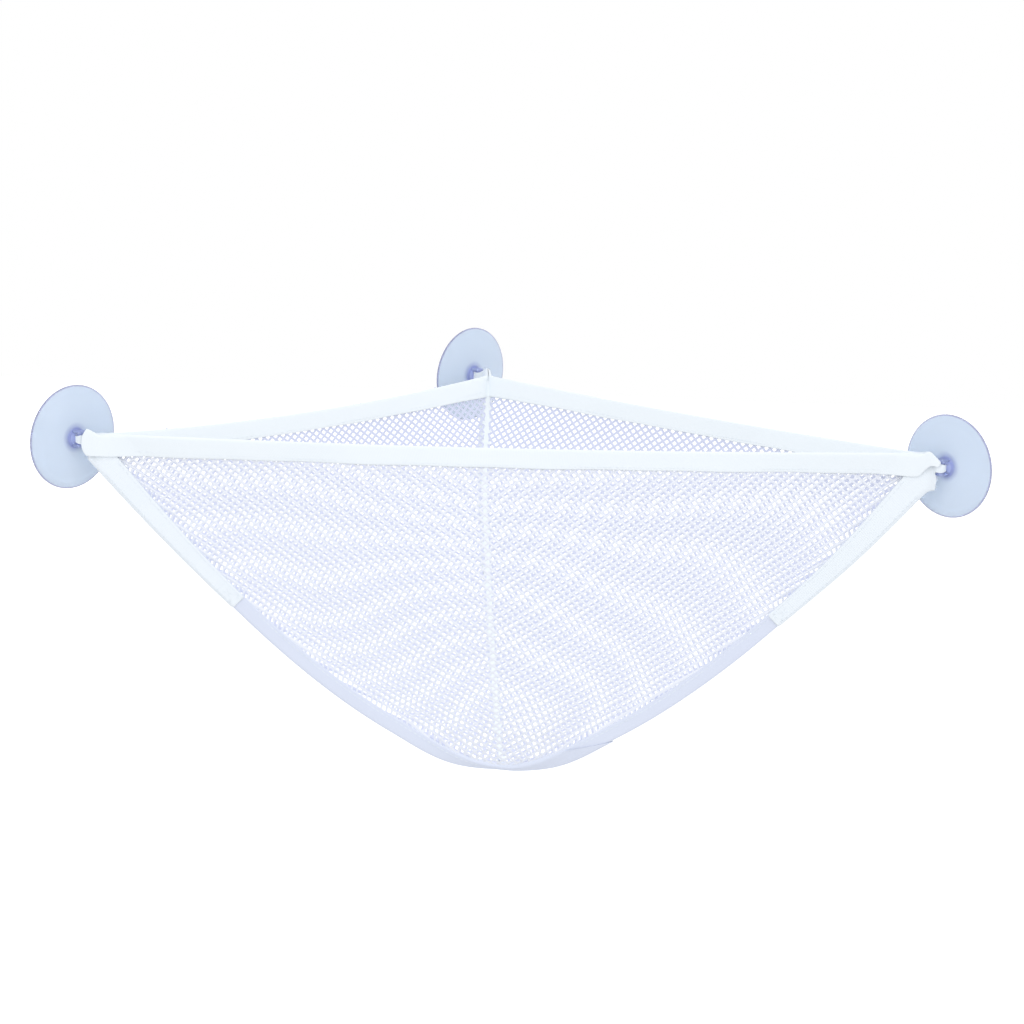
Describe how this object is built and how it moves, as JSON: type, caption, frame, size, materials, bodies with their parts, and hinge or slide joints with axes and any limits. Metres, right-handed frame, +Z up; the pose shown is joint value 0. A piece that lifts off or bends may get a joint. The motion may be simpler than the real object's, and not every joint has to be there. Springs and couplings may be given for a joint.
{
  "type": "bath toy organizer",
  "caption": "Corner net bag for bath toys: diamond-mesh panels bound with folded tape, hung from clear suction cups whose eyes turn in the loops of the corner straps.",
  "frame": {"origin": "the corner of the two walls that the cups hold to, at the height of the cups' centres", "axes": "+X to the right along the front rim, +Y into the corner, +Z up; the front panel faces -Y"},
  "size_m": [0.5458, 0.2707, 0.24],
  "materials": {
    "net": "white polyester mesh",
    "tape": "white woven tape",
    "cup": "soft clear blue vinyl"
  },
  "bodies": {
    "net": {"front_net_panel": "net", "left_net_panel": "net", "right_net_panel": "net", "front_rim_tape": "tape", "left_rim_tape": "tape", "right_rim_tape": "tape", "left_seam_tape": "tape", "right_seam_tape": "tape", "back_seam_tape": "tape", "left_corner_strap": "tape", "right_corner_strap": "tape", "back_corner_strap": "tape"},
    "left_cup": {"left_suction_cup": "cup"},
    "right_cup": {"right_suction_cup": "cup"},
    "back_cup": {"back_suction_cup": "cup"}
  },
  "joints": [
    {"name": "left_cup_turn", "type": "hinge", "parent": "net", "child": "left_cup", "pos_m": [-0.24618, -0.25728, 0], "axis": [0, 0, 1], "range_deg": [-20, 100]},
    {"name": "right_cup_turn", "type": "hinge", "parent": "net", "child": "right_cup", "pos_m": [0.24618, -0.25728, 0], "axis": [0, 0, 1], "range_deg": [-100, 20]},
    {"name": "back_cup_turn", "type": "hinge", "parent": "net", "child": "back_cup", "pos_m": [-0.01849, -0.02959, 0], "axis": [0, 0, 1], "range_deg": [-55, 20]}
  ]
}
